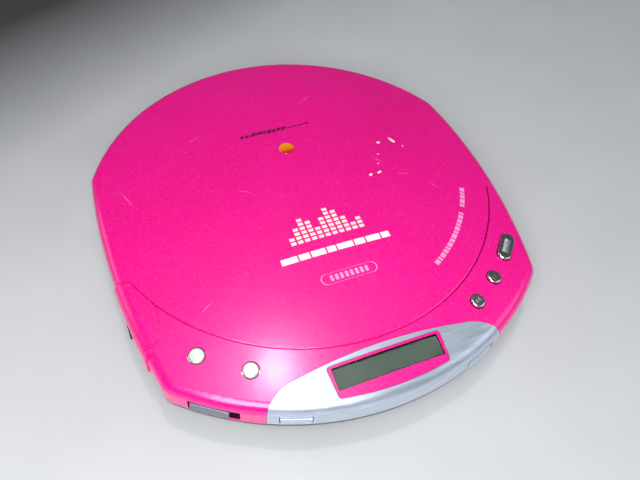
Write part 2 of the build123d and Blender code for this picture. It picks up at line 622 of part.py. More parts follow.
with BuildPart() as lid:
    add(body_form(0, LID_LOW_Z))
    add(plate(lid_region(0), LID_LOW_Z - 1, WORK_TOP), mode=Mode.INTERSECT)
    # Hollow underneath.
    with BuildPart(mode=Mode.PRIVATE) as cavity:
        add(body_form(LID_WALL, LID_LOW_Z - 1))
        add(plate(lid_region(LID_WALL), 0, WORK_TOP), mode=Mode.INTERSECT)
    add(cavity.part, mode=Mode.SUBTRACT)
    # Soften the front edge, where the groove is.
    high_edges = lid.edges().filter_by(lambda edge: edge.center().Z > LID_LOW_Z + 3)
    middles = {edge: edge.position_at(0.5) for edge in high_edges}
    fillet(
        [
            edge
            for edge, middle in middles.items()
            if abs(math.hypot(middle.X, middle.Y - DISC_Y) - LID_RADIUS) < 0.05
        ],
        LID_EDGE_ROUND,
    )
    # Hinge arms: knuckles on the pin, with a web up to the skirt.
    for side in (-1, 1):
        near, far = sorted((side * HINGE_EAR[0], side * HINGE_EAR[1]))
        with BuildPart(mode=Mode.PRIVATE) as arm:
            add(rod(KNUCKLE_RADIUS, (near, HINGE_Y, HINGE_Z), (far, HINGE_Y, HINGE_Z)))
            with BuildSketch(Plane.YZ.offset(near)):
                with BuildLine():
                    Polyline(
                        (HINGE_Y + 0.5, HINGE_Z),
                        (HINGE_Y + KNUCKLE_RADIUS, HINGE_Z),
                        (HALF_DEPTH - 0.45, HINGE_Z + 1.6),
                        (HALF_DEPTH - 0.45, LID_LOW_Z + 0.6),
                        (HALF_DEPTH - 1.5, LID_LOW_Z + 0.6),
                        (HALF_DEPTH - 1.65, WELL_FLOOR_Z - 1.5),
                        (HINGE_Y + 0.5, HINGE_Z),
                    )
                make_face()
            extrude(amount=far - near)
        add(arm.part)
    pin_start = (-EAR_END, HINGE_Y, HINGE_Z)
    pin_end = (EAR_END, HINGE_Y, HINGE_Z)
    add(rod(HINGE_PIN_RADIUS + RUNNING_CLEARANCE, pin_start, pin_end), mode=Mode.SUBTRACT)
    # Seat for the round badge.
    with Locations((0, BADGE_Y, BADGE_SEAT_Z)):
        Cylinder(BADGE_RADIUS + RUNNING_CLEARANCE, 3, align=STANDING, mode=Mode.SUBTRACT)
keep("lid", lid.part)

# The liner carries a ring that keeps a disc from lifting off the hub.
with BuildPart() as lid_liner:
    add(crown_solid(LID_WALL, 15))
    add(crown_solid(LID_WALL + LINER_THICK, 14), mode=Mode.SUBTRACT)
    with Locations((0, DISC_Y, 0)):
        Cylinder(LINER_RADIUS, 2 * WORK_TOP, mode=Mode.INTERSECT)
    with BuildPart(mode=Mode.PRIVATE) as keeper:
        with BuildSketch(Plane.XY.offset(KEEPER_LOW_Z)):
            with Locations((0, DISC_Y)):
                Circle(KEEPER_RADII[0])
                Circle(KEEPER_RADII[1], mode=Mode.SUBTRACT)
        extrude(amount=WORK_TOP)
        add(crown_solid(LID_WALL + 0.3, 10), mode=Mode.INTERSECT)
    add(keeper.part)
keep("lid_liner", lid_liner.part)

with BuildPart() as lid_badge:
    with Locations((0, BADGE_Y, BADGE_SEAT_Z)):
        Cylinder(BADGE_RADIUS, 0.6, align=STANDING)
    fillet(lid_badge.edges().group_by(Axis.Z)[-1], 0.25)
keep("lid_badge", lid_badge.part)

with BuildPart() as lid_hook:
    with Locations(Location((*ring_point(HOOK_RING, HOOK_ANGLE), HOOK_LOW_Z), (0, 0, HOOK_ANGLE))):
        Box(HOOK_LENGTH, HOOK_THICK, 12, align=STANDING)
    add(crown_solid(LID_WALL, 10), mode=Mode.INTERSECT)
keep("lid_hook", lid_hook.part)

with BuildPart() as lid_switch_post:
    with Locations((*ring_point(LEDGE_RING, SWITCH_ANGLE), SWITCH_POST_LOW_Z)):
        Cylinder(PLUNGER_RADIUS, 12, align=STANDING)
    add(crown_solid(LID_WALL, 10), mode=Mode.INTERSECT)
keep("lid_switch_post", lid_switch_post.part)

with BuildPart() as hinge_pin:
    pin_half = EAR_END - PIN_END_GAP
    add(rod(HINGE_PIN_RADIUS, (-pin_half, HINGE_Y, HINGE_Z), (pin_half, HINGE_Y, HINGE_Z)))
keep("hinge_pin", hinge_pin.part)

# ---------------------------------------------------------------- front trim and display
TRIM_GAP = 0.12
GLASS_THICK = 0.8

with BuildPart() as front_panel:
    add(outer_form)
    add(plate(panel_region(TRIM_GAP), SPLIT_Z + 0.15, WORK_TOP), mode=Mode.INTERSECT)
    add(panel_form, mode=Mode.SUBTRACT)
    add(plate(window_region(-TRIM_GAP), SPLIT_Z, WORK_TOP), mode=Mode.SUBTRACT)
    for angle, extra in FRONT_SLOTS:
        with BuildSketch(wall_plane(angle, SIDE_BUTTON_Z)):
            Rectangle(SIDE_SLOT_LENGTH + extra, SIDE_SLOT_HEIGHT)
        extrude(amount=WALL_CUT, both=True, mode=Mode.SUBTRACT)
keep("front_panel", front_panel.part)

glass_x = (-GLASS_HALF, GLASS_HALF)
glass_y = (GLASS_LOW_Y, GLASS_TOP_Y)
with BuildPart() as display_surround:
    add(crown_solid(0, 12))
    add(plate(window_region(0), 11, WORK_TOP), mode=Mode.INTERSECT)
    add(panel_form, mode=Mode.SUBTRACT)
    add(block(glass_x, glass_y, (10, WORK_TOP)), mode=Mode.SUBTRACT)
    add(outer_form, mode=Mode.INTERSECT)
keep("display_surround", display_surround.part)

with BuildPart() as display_window:
    add(crown_solid(0.1, 12))
    add(crown_solid(0.1 + GLASS_THICK, 11), mode=Mode.SUBTRACT)
    add(block(glass_x, glass_y, (10, WORK_TOP)), mode=Mode.INTERSECT)
keep("display_window", display_window.part)

DISPLAY_MID_Y = -63.3
DISPLAY_DEPTH = 3.3
DISPLAY_SIZE = (33.6, 6.8)
DISPLAY_THICK = 1.7
display_normal = (0, DISPLAY_MID_Y - DISC_Y, crown_height(0, DISPLAY_MID_Y) - CROWN_CENTRE_Z)
display_origin = (0, DISPLAY_MID_Y, crown_height(0, DISPLAY_MID_Y))
display_plane = Plane(origin=display_origin, x_dir=(1, 0, 0), z_dir=display_normal)
with BuildPart() as lcd_module:
    with BuildSketch(display_plane.offset(-DISPLAY_DEPTH)):
        Rectangle(*DISPLAY_SIZE)
    extrude(amount=DISPLAY_THICK)
keep("lcd_module", lcd_module.part)

# ---------------------------------------------------------------- buttons and switches
BUTTON_PROUD = 0.75
BUTTON_ROUND = 0.5
BUTTON_DEPTH = 2.9          # the flange's underside, below the deck's surface
FLANGE_WIDER = 0.65         # on each side
STEM_RADIUS = 1.2
STEM_LENGTH = 0.4
KNOB_ROUND = 0.3
KNOB_FLANGE = 0.8


def press_button(plane, profile, flange, name):
    """A deck button: cap through the deck, a flange that keeps it in, and a stem over its switch."""
    with BuildPart() as button:
        with BuildSketch(plane.offset(-BUTTON_DEPTH)):
            add(profile)
        extrude(amount=BUTTON_DEPTH + BUTTON_PROUD)
        top_edges = button.faces().sort_by(Axis.Z)[-1].edges()
        fillet(top_edges, BUTTON_ROUND)
        with BuildSketch(plane.offset(-BUTTON_DEPTH)):
            add(flange)
        extrude(amount=FLANGE_WIDER)
        with BuildSketch(plane.offset(-BUTTON_DEPTH - STEM_LENGTH)):
            Circle(STEM_RADIUS)
        extrude(amount=STEM_LENGTH + 0.1)
    keep(name, button.part)


with BuildSketch() as round_profile:
    Circle(ROUND_BUTTON_RADIUS)
with BuildSketch() as round_flange:
    Circle(ROUND_BUTTON_RADIUS + FLANGE_WIDER)
with BuildSketch() as play_profile:
    SlotOverall(PLAY_BUTTON_LENGTH, PLAY_BUTTON_WIDTH)
with BuildSketch() as play_flange:
    SlotOverall(PLAY_BUTTON_LENGTH + 2 * FLANGE_WIDER, PLAY_BUTTON_WIDTH + 2 * FLANGE_WIDER)

for button_name, angle in ROUND_BUTTON_ANGLES.items():
    press_button(deck_plane(angle), round_profile.sketch, round_flange.sketch, button_name)
press_button(deck_plane(PLAY_BUTTON_ANGLE), play_profile.sketch, play_flange.sketch, "play_button")


def wall_knob(plane, length, height, shift, proud, flange_depth):
    """A knob through the front wall with a flange behind it."""
    with BuildPart() as knob:
        with BuildSketch(plane.offset(-flange_depth)):
            with Locations((shift, 0)):
                Rectangle(length, height)
        extrude(amount=flange_depth + proud)
        face = knob.faces().sort_by(lambda face: (face.center() - plane.origin).dot(plane.z_dir))[-1]
        fillet(face.edges(), KNOB_ROUND)
        with BuildSketch(plane.offset(-flange_depth - KNOB_FLANGE)):
            with Locations((shift, 0)):
                Rectangle(length + 3 * KNOB_FLANGE, height + 1.5 * KNOB_FLANGE)
        extrude(amount=KNOB_FLANGE)
    return knob.part


sound_plane = wall_plane(-SIDE_BUTTON_ANGLE, SIDE_BUTTON_Z)
hold_plane = wall_plane(SIDE_BUTTON_ANGLE, SIDE_BUTTON_Z)
slider_plane = wall_plane(SLIDER_ANGLE, SLIDER_Z)
keep("sound_button", wall_knob(sound_plane, SIDE_BUTTON_LENGTH, SIDE_BUTTON_HEIGHT, 0, 0.45, 2.6))
hold_knob = wall_knob(hold_plane, SIDE_BUTTON_LENGTH, SIDE_BUTTON_HEIGHT, -HOLD_TRAVEL / 2, 0.45, 2.75)
keep("hold_switch_knob", hold_knob)
keep("open_slider", wall_knob(slider_plane, 2 * SLIDER_HALF, SLIDER_HEIGHT, 0, 0.35, 3.0))

LATCH_DEPTH = 3.8           # the latch plate starts behind the slider's flange
LATCH_LENGTH = 17.4
LATCH_PLACE = (4.2, -1.0)
LATCH_SIZE = (3.6, 1.0)
SPRING_DEPTH = 6.4
SPRING_RADII = (1.3, 0.9)
SPRING_LENGTH = 6.0

with BuildPart() as latch_plate:
    with BuildSketch(slider_plane.offset(-LATCH_DEPTH)):
        with Locations(LATCH_PLACE):
            Rectangle(*LATCH_SIZE)
    extrude(amount=-LATCH_LENGTH)
keep("latch_plate", latch_plate.part)

spring_origin = slider_plane.origin - slider_plane.z_dir * SPRING_DEPTH
with BuildPart() as latch_spring:
    with BuildSketch(Plane(origin=spring_origin, z_dir=slider_plane.x_dir)):
        Circle(SPRING_RADII[0])
        Circle(SPRING_RADII[1], mode=Mode.SUBTRACT)
    extrude(amount=-SPRING_LENGTH)
keep("latch_spring", latch_spring.part)

PLUNGER_LOW_Z = 14.4
PLUNGER_LENGTH = 5.0
SWITCH_HALF = (2.6, 2.2)
SWITCH_Z = (12.4, 15.9)
SWITCH_BORE_Z = 13.4

switch_x, switch_y = ring_point(LEDGE_RING, SWITCH_ANGLE)
with BuildPart() as lid_switch_plunger:
    with Locations((switch_x, switch_y, PLUNGER_LOW_Z)):
        Cylinder(PLUNGER_RADIUS, PLUNGER_LENGTH, align=STANDING)
    fillet(lid_switch_plunger.edges().group_by(Axis.Z)[-1], 0.2)
keep("lid_switch_plunger", lid_switch_plunger.part)

with BuildPart() as lid_switch:
    half_x, half_y = SWITCH_HALF
    add(block((switch_x - half_x, switch_x + half_x), (switch_y - half_y, switch_y + half_y), SWITCH_Z))
    with Locations((switch_x, switch_y, SWITCH_BORE_Z)):
        Cylinder(PLUNGER_RADIUS + RUNNING_CLEARANCE, PLUNGER_LENGTH, align=STANDING, mode=Mode.SUBTRACT)
keep("lid_switch", lid_switch.part)

# ---------------------------------------------------------------- circuit boards
CONTROL_BOARD_Z = (15.4, 16.4)
MAIN_BOARD_Z = (3.4, 4.6)
CONTROL_BOARD_INSET = 7.5
CONTROL_BOARD_REAR_Y = -31.0
MAIN_BOARD_INSET = 7.6
MAIN_BOARD_REAR_Y = 26.5
SWITCH_SIDE = 4.2
SWITCH_TALL = 1.0
SWITCH_STEM = (0.9, 0.3)    # radius and height
STEM_END = 3.4              # a pressed button's stem ends this far below the deck's surface
WALL_SWITCH_DROP = -0.6
SOUND_SWITCH = (5.0, 2.4)
SOUND_SWITCH_DEPTH = (6.6, 2.6)
HOLD_SWITCH = (7.0, 2.4)
HOLD_SWITCH_DEPTH = (7.0, 3.0)
CHIPS = ((-12, -30, 14, 1.6), (10, -38, 10, 1.4), (-40, -20, 9, 1.5), (40, -16, 12, 1.6))
CAPACITORS = ((-42, 2), (-49, -2), (46, 2), (41, -30), (-46, -30))
CAPACITOR_RADIUS = 2.5
CAPACITOR_TALL = 5.5

with BuildPart() as control_board:
    add(plate(body_outline(CONTROL_BOARD_INSET, 0), *CONTROL_BOARD_Z))
    add(plate(lid_region(-3.0), 0, WORK_TOP), mode=Mode.SUBTRACT)
    behind = block((-WORK_REACH, WORK_REACH), (CONTROL_BOARD_REAR_Y, WORK_REACH), (0, WORK_TOP))
    add(behind, mode=Mode.SUBTRACT)
keep("control_board", control_board.part)

with BuildPart() as deck_switches:
    for angle in [*ROUND_BUTTON_ANGLES.values(), PLAY_BUTTON_ANGLE]:
        plane = deck_plane(angle)
        stem_end = plane.origin - plane.z_dir * STEM_END
        foot = (stem_end.X, stem_end.Y, CONTROL_BOARD_Z[1])
        with BuildSketch(Plane(foot, x_dir=plane.x_dir, z_dir=(0, 0, 1))):
            Rectangle(SWITCH_SIDE, SWITCH_SIDE)
        extrude(amount=SWITCH_TALL)
        with BuildSketch(Plane((stem_end.X, stem_end.Y, CONTROL_BOARD_Z[1] + SWITCH_TALL))):
            Circle(SWITCH_STEM[0])
        extrude(amount=SWITCH_STEM[1])
    for plane, size, (depth, thick) in (
        (sound_plane, SOUND_SWITCH, SOUND_SWITCH_DEPTH),
        (hold_plane, HOLD_SWITCH, HOLD_SWITCH_DEPTH),
    ):
        with BuildSketch(plane.offset(-depth)):
            with Locations((0, WALL_SWITCH_DROP)):
                Rectangle(*size)
        extrude(amount=thick)
keep("deck_switches", deck_switches.part)

with BuildPart() as main_board:
    add(plate(body_outline(MAIN_BOARD_INSET, 0), *MAIN_BOARD_Z))
    behind = block((-WORK_REACH, WORK_REACH), (MAIN_BOARD_REAR_Y, WORK_REACH), (0, WORK_TOP))
    add(behind, mode=Mode.SUBTRACT)
    with BuildSketch(Plane.XY.offset(MAIN_BOARD_Z[0])):
        with Locations(*CASE_SCREWS):
            Circle(BOSS_RADIUS + 0.9)
        with Locations(*DAMPERS):
            Circle(DAMPER_POST + 0.4)
    extrude(amount=5, mode=Mode.SUBTRACT)
keep("main_board", main_board.part)

with BuildPart() as board_chips:
    for x, y, size, height in CHIPS:
        half, base = size / 2, MAIN_BOARD_Z[1]
        add(block((x - half, x + half), (y - half, y + half), (base, base + height)))
keep("board_chips", board_chips.part)

with BuildPart() as board_capacitors:
    with BuildSketch(Plane.XY.offset(MAIN_BOARD_Z[1])):
        with Locations(*CAPACITORS):
            Circle(CAPACITOR_RADIUS)
    extrude(amount=CAPACITOR_TALL)
keep("board_capacitors", board_capacitors.part)


HEADPHONE_FERRULE = 64.3    # outer end of each ferrule, from the middle
DC_FERRULE = 63.5
DC_BACK = 1.2               # wall at the inner end of the power jack, which carries its pin
DC_PIN_RADIUS = 0.65
DC_PIN_END = 60.0


def jack_body(side, bore, ferrule_end):
    """A jack against a side wall: a block with a round ferrule through the wall and the bore along it."""
    def along(reach):
        return side * reach, JACK_Y, JACK_Z

    across = (JACK_Y - JACK_HALF, JACK_Y + JACK_HALF)
    upright = (SPLIT_Z + 0.1, JACK_TOP)
    with BuildPart() as jack:
        add(block(sorted((side * JACK_INNER, side * JACK_OUTER)), across, upright))
        add(rod(FERRULE_RADIUS, along(JACK_OUTER), along(ferrule_end)))
        add(rod(bore, along(JACK_INNER - 1), along(SIDE_DRILL[1])), mode=Mode.SUBTRACT)
        if bore == DC_BORE:
            add(block(sorted((side * JACK_INNER, side * (JACK_INNER + DC_BACK))), across, upright))
            add(rod(DC_PIN_RADIUS, along(JACK_INNER), along(DC_PIN_END)))
    return jack.part


keep("headphone_jack", jack_body(-1, JACK_BORE, HEADPHONE_FERRULE))
keep("dc_jack", jack_body(1, DC_BORE, DC_FERRULE))

# ---------------------------------------------------------------- disc mechanism
CHASSIS_Z = (14.2, 15.2)
PICKUP_REST_Y = DISC_Y - 23.0
PICKUP_TRAVEL = 33.0
ROD_Z = 10.4
ROD_X = (-11.0, 9.0)
ROD_RADIUS = 1.0
SCREW_X = 16.5
LEAD_RADIUS = 1.2
PICKUP_HALF = 9.0
LENS_RADIUS = 2.1
PLATE_X, PLATE_Y = (-28.0, 28.0), (-40.0, 25.0)
TAIL_X, TAIL_Y = (-22.5, 20.0), (-60.4, -40.0)
SLOT_HALF = 8.6             # slot in the chassis over the pickup's travel
SLOT_REAR_Y = -2.6
LUG_LOW_Z = 8.6
LUG_HALF = 2.2
LUG_Y = ((-60.2, -58.2), (-3.4, -1.6))
BEARING_HALF = 1.8
BEARING_Y = (-52.8, -50.9)
JOURNAL_RADIUS = 0.5
JOURNAL_BORE = 0.56
GUIDE_ROD_Y = (-60.0, -1.8)
DAMPER_LOW_Z = 11.65
DAMPER_RADII = (3.0, 1.2)
CHASSIS_HOLE = 1.1
CHASSIS_SCREW = (0.9, 8.0)  # radius and length
CHASSIS_HEAD = (2.1, 0.7)   # radius and height
MOTOR_LOW_Z = 6.6
MOTOR_RADIUS = 10.0
MOTOR_BORE = 0.8
MOTOR_BORE_LOW_Z = 7.6
SHAFT_RADIUS = 0.75
SHAFT_Z = (8.0, 19.9)
TURNTABLE_Z = (15.9, 17.5)
TURNTABLE_RADIUS = 13.5
PAD_RADII = (13.2, 9.4)
PAD_THICK = 0.5
HUB_PROFILE = [(7.35, 17.5), (7.35, 19.2), (6.5, 20.2), (2.6, 20.2), (2.2, 19.7)]
SLIT_RING = 6.2
SLIT_SIDE = 1.9
SLIT_SIZE = (3.0, 0.5)
SLIT_LOW_Z = 17.9
PICKUP_X = (-14.0, 12.0)
PICKUP_Z = (8.2, 13.4)
COIL_X = (5.7, 8.0)         # the lens coils' magnets, on either side
COIL_TOP_Z = 15.5
FOLLOWER_X = (12.0, 18.9)   # the follower that rides on the lead screw
FOLLOWER_Z = (8.6, 12.4)
HOLDER_HALF_X, HOLDER_HALF_Y = 5.1, 3.4
LENS_HOLDER_Z = (13.9, 15.6)
LENS_Z = (14.6, 16.0)
LEAD_Y = (-50.6, 0.2)
LEAD_END_Y = (-52.4, 6.0)
SLED_MOTOR_RADIUS = 3.6
SLED_MOTOR_Y = (0.6, 13.0)


def along_y(x, y):
    """Point at the height of the guide rods and the lead screw."""
    return x, y, ROD_Z


with BuildPart() as mechanism_chassis:
    add(block(PLATE_X, PLATE_Y, CHASSIS_Z))
    add(block(TAIL_X, TAIL_Y, CHASSIS_Z))
    fillet(mechanism_chassis.edges().filter_by(Axis.Z), 2)
    slot_y = (PICKUP_REST_Y - PICKUP_TRAVEL - 6, SLOT_REAR_Y)
    add(block((-SLOT_HALF, SLOT_HALF), slot_y, (0, WORK_TOP)), mode=Mode.SUBTRACT)
    with Locations((0, DISC_Y, CHASSIS_Z[0])):
        Cylinder(4.0, 8, mode=Mode.SUBTRACT)
    with BuildSketch(Plane.XY.offset(CHASSIS_Z[0])):
        with Locations(*DAMPERS):
            Circle(CHASSIS_HOLE)
    extrude(amount=2, mode=Mode.SUBTRACT)
    # Lugs that carry the guide rods and the end of the lead screw.
    lug_z = (LUG_LOW_Z, CHASSIS_Z[0])
    for x in ROD_X:
        for lug_y in LUG_Y:
            add(block((x - LUG_HALF, x + LUG_HALF), lug_y, lug_z))
    add(block((SCREW_X - BEARING_HALF, SCREW_X + BEARING_HALF), BEARING_Y, lug_z))
    for x in ROD_X:
        add(rod(ROD_RADIUS + 0.02, along_y(x, TAIL_Y[0] - 1), along_y(x, 0)), mode=Mode.SUBTRACT)
    bearing_bore = rod(JOURNAL_BORE, along_y(SCREW_X, BEARING_Y[0] - 1), along_y(SCREW_X, BEARING_Y[1] + 1))
    add(bearing_bore, mode=Mode.SUBTRACT)
keep("mechanism_chassis", mechanism_chassis.part)

with BuildPart() as guide_rods:
    for x in ROD_X:
        add(rod(ROD_RADIUS, *(along_y(x, y) for y in GUIDE_ROD_Y)))
keep("guide_rods", guide_rods.part)

with BuildPart() as rubber_dampers:
    with BuildSketch(Plane.XY.offset(DAMPER_LOW_Z)):
        with Locations(*DAMPERS):
            Circle(DAMPER_RADII[0])
            Circle(DAMPER_RADII[1], mode=Mode.SUBTRACT)
    extrude(amount=CHASSIS_Z[0] - DAMPER_LOW_Z)
    fillet(rubber_dampers.edges().group_by(Axis.Z)[0], 0.3)
keep("rubber_dampers", rubber_dampers.part)

with BuildPart() as chassis_screws:
    with BuildSketch(Plane.XY.offset(CHASSIS_Z[1])):
        with Locations(*DAMPERS):
            Circle(CHASSIS_HEAD[0])
    extrude(amount=CHASSIS_HEAD[1])
    with BuildSketch(Plane.XY.offset(CHASSIS_Z[1])):
        with Locations(*DAMPERS):
            Circle(CHASSIS_SCREW[0])
    extrude(amount=-CHASSIS_SCREW[1])
keep("chassis_screws", chassis_screws.part)

with BuildPart() as spindle_motor:
    with BuildSketch(Plane.XY.offset(MOTOR_LOW_Z)):
        with Locations((0, DISC_Y)):
            Circle(MOTOR_RADIUS)
    extrude(amount=CHASSIS_Z[0] - MOTOR_LOW_Z)
    fillet(spindle_motor.edges().group_by(Axis.Z)[0], 0.8)
    with Locations((0, DISC_Y, MOTOR_BORE_LOW_Z)):
        Cylinder(MOTOR_BORE, 10, align=STANDING, mode=Mode.SUBTRACT)
keep("spindle_motor", spindle_motor.part)

with BuildPart() as spindle_shaft:
    add(rod(SHAFT_RADIUS, *((0, DISC_Y, z) for z in SHAFT_Z)))
keep("spindle_shaft", spindle_shaft.part)

with BuildPart() as turntable:
    with BuildSketch(Plane.XY.offset(TURNTABLE_Z[0])):
        with Locations((0, DISC_Y)):
            Circle(TURNTABLE_RADIUS)
            Circle(SHAFT_RADIUS, mode=Mode.SUBTRACT)
    extrude(amount=TURNTABLE_Z[1] - TURNTABLE_Z[0])
    fillet(turntable.edges().group_by(Axis.Z)[0].sort_by(SortBy.LENGTH)[-1], 0.5)
keep("turntable", turntable.part)

with BuildPart() as turntable_pad:
    with BuildSketch(Plane.XY.offset(TURNTABLE_Z[1])):
        with Locations((0, DISC_Y)):
            Circle(PAD_RADII[0])
            Circle(PAD_RADII[1], mode=Mode.SUBTRACT)
    extrude(amount=PAD_THICK)
keep("turntable_pad", turntable_pad.part)

with BuildPart() as disc_hub:
    with BuildSketch(Plane.XZ.offset(-DISC_Y)):
        with BuildLine():
            foot = (SHAFT_RADIUS, HUB_PROFILE[0][1])
            Polyline(foot, *HUB_PROFILE, (SHAFT_RADIUS, HUB_PROFILE[-1][1]), foot)
        make_face()
    revolve(axis=Axis((0, DISC_Y, 0), (0, 0, 1)))
    # Slits that free the three clamping fingers.
    with BuildSketch(Plane.XY.offset(SLIT_LOW_Z)):
        with Locations((0, DISC_Y)):
            with PolarLocations(SLIT_RING, 3):
                with Locations((0, SLIT_SIDE), (0, -SLIT_SIDE)):
                    Rectangle(*SLIT_SIZE)
    extrude(amount=4, mode=Mode.SUBTRACT)
keep("disc_hub", disc_hub.part)

with BuildPart() as optical_pickup:
    near, far = PICKUP_REST_Y - PICKUP_HALF, PICKUP_REST_Y + PICKUP_HALF
    add(block(PICKUP_X, (near, far), PICKUP_Z))
    fillet(optical_pickup.edges().filter_by(Axis.Z), 1.5)
    for side in (-1, 1):
        magnet = sorted(side * x for x in COIL_X)
        add(block(magnet, (PICKUP_REST_Y - 4, PICKUP_REST_Y + 4), (PICKUP_Z[1], COIL_TOP_Z)))
    add(block(FOLLOWER_X, (PICKUP_REST_Y - 2, PICKUP_REST_Y + 2), FOLLOWER_Z))
    for x, radius in ((ROD_X[0], ROD_RADIUS), (ROD_X[1], ROD_RADIUS), (SCREW_X, LEAD_RADIUS)):
        bore = rod(radius + RUNNING_CLEARANCE, along_y(x, near - 1), along_y(x, far + 1))
        add(bore, mode=Mode.SUBTRACT)
keep("optical_pickup", optical_pickup.part)

with BuildPart() as lens_holder:
    across = (PICKUP_REST_Y - HOLDER_HALF_Y, PICKUP_REST_Y + HOLDER_HALF_Y)
    add(block((-HOLDER_HALF_X, HOLDER_HALF_X), across, LENS_HOLDER_Z))
    fillet(lens_holder.edges().filter_by(Axis.Z), 0.8)
    with Locations((0, PICKUP_REST_Y, LENS_HOLDER_Z[0])):
        Cylinder(LENS_RADIUS, 8, mode=Mode.SUBTRACT)
keep("lens_holder", lens_holder.part)

with BuildPart() as objective_lens:
    with Locations((0, PICKUP_REST_Y, LENS_Z[0])):
        Cylinder(LENS_RADIUS, LENS_Z[1] - LENS_Z[0], align=STANDING)
    fillet(objective_lens.edges().group_by(Axis.Z)[-1], 0.5)
keep("objective_lens", objective_lens.part)

with BuildPart() as lead_screw:
    add(rod(LEAD_RADIUS, *(along_y(SCREW_X, y) for y in LEAD_Y)))
    for start, end in zip(LEAD_Y, LEAD_END_Y):
        add(rod(JOURNAL_RADIUS, along_y(SCREW_X, start), along_y(SCREW_X, end)))
keep("lead_screw", lead_screw.part)

with BuildPart() as sled_motor:
    add(rod(SLED_MOTOR_RADIUS, *(along_y(SCREW_X, y) for y in SLED_MOTOR_Y)))
    fillet(sled_motor.edges(), 0.4)
    add(rod(JOURNAL_BORE, along_y(SCREW_X, 0), along_y(SCREW_X, LEAD_END_Y[1] + 1)), mode=Mode.SUBTRACT)
keep("sled_motor", sled_motor.part)

# ---------------------------------------------------------------- export
os.makedirs("parts", exist_ok=True)
for piece_name, piece in finished.items():
    export_step(piece, "parts/" + piece_name + ".step")
    print(piece_name, len(piece.solids()), round(piece.volume, 1))
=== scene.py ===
"""Looks of the portable CD player: materials, printed marks, raised detail, floor, light and camera."""
import json
import math
import random

import bmesh
import bpy
from mathutils import Matrix, Vector

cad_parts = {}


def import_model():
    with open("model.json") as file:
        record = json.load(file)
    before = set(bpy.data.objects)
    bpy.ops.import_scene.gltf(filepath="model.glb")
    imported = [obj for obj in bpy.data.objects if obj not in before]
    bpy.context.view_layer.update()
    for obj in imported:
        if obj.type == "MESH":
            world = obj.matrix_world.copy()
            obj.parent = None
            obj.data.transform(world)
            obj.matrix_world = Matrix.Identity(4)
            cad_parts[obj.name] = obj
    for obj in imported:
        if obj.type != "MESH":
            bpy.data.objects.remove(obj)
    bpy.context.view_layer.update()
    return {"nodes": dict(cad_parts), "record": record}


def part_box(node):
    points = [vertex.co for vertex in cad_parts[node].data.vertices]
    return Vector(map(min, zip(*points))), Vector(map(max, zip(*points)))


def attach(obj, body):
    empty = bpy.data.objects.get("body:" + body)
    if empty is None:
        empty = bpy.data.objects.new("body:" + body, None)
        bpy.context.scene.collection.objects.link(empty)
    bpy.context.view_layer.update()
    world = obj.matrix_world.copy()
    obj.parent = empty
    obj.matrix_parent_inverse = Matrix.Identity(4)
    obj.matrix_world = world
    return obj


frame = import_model()
MM = 0.001

# ---------------------------------------------------------------- places on the player
TOP_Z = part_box("lid")[1].z
BADGE_Y = sum(corner[1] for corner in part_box("lid_badge")) / 2
DISC_Y = sum(corner[1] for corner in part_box("disc_hub")) / 2
# The body's crown is part of a large ball that stands over the disc axis.
CROWN_RADIUS = 400 * MM
CROWN_CENTRE = Vector((0, DISC_Y, TOP_Z - CROWN_RADIUS))
# The disc well in the deck.
WELL_RADIUS = 61.02 * MM
WELL_RIM_Z = 18.5 * MM
# The front wall is round in plan. The open slider's slot goes through it.
FRONT_RADIUS = 86 * MM
FRONT_CENTRE_Y = 13.75 * MM
SLOT_X = -48.5 * MM
SLOT_Z = 14.7 * MM
SLOT_HALF_LENGTH = 6.5 * MM
SLOT_HALF_HEIGHT = 2.4 * MM
SLOT_INSET = 0.3 * MM
# The deck buttons stand on a circle about the disc axis, at these angles from the front.
BUTTON_CIRCLE = 72 * MM
SKIP_BACK_ANGLE = 27.8
SKIP_FORWARD_ANGLE = 36.6
PLAY_ANGLE = 47.3


def crown(x, y):
    """Height of the body's crown over a plan point."""
    return TOP_Z - CROWN_RADIUS + math.sqrt(CROWN_RADIUS ** 2 - x ** 2 - (y - DISC_Y) ** 2)


def crown_normal(x, y):
    """Outward direction of the crown over a plan point."""
    return (Vector((x, y, crown(x, y))) - CROWN_CENTRE).normalized()


def crown_point(x, y, lift):
    """Point a little above the crown."""
    return Vector((x, y, crown(x, y))) + crown_normal(x, y) * lift


def around_disc(radius, angle):
    """Plan point on a circle about the disc axis; the angle runs from the front to the right."""
    return radius * math.sin(angle), DISC_Y - radius * math.cos(angle)


# ---------------------------------------------------------------- node helpers
def linear(red, green, blue):
    """Linear colour from 0-255 screen values."""
    return tuple((channel / 255) ** 2.2 for channel in (red, green, blue))


def new_material(name):
    """Fresh node material: returns it, its tree and its Principled shader."""
    material = bpy.data.materials.new(name)
    material.use_nodes = True
    tree = material.node_tree
    return material, tree, tree.nodes["Principled BSDF"]


def axes(tree, space="Object"):
    """The x, y and z sockets of a texture coordinate."""
    place = tree.nodes.new("ShaderNodeTexCoord")
    split = tree.nodes.new("ShaderNodeSeparateXYZ")
    tree.links.new(place.outputs[space], split.inputs[0])
    return split.outputs


def noise(tree, scale, detail=3.0, roughness=0.5, stretch=None):
    """Noise in object coordinates, optionally stretched."""
    place = tree.nodes.new("ShaderNodeTexCoord").outputs["Object"]
    texture = tree.nodes.new("ShaderNodeTexNoise")
    texture.inputs["Scale"].default_value = scale
    texture.inputs["Detail"].default_value = detail
    texture.inputs["Roughness"].default_value = roughness
    if stretch:
        mapping = tree.nodes.new("ShaderNodeMapping")
        mapping.inputs["Scale"].default_value = stretch
        tree.links.new(place, mapping.inputs["Vector"])
        place = mapping.outputs["Vector"]
    tree.links.new(place, texture.inputs["Vector"])
    return texture.outputs["Fac"]


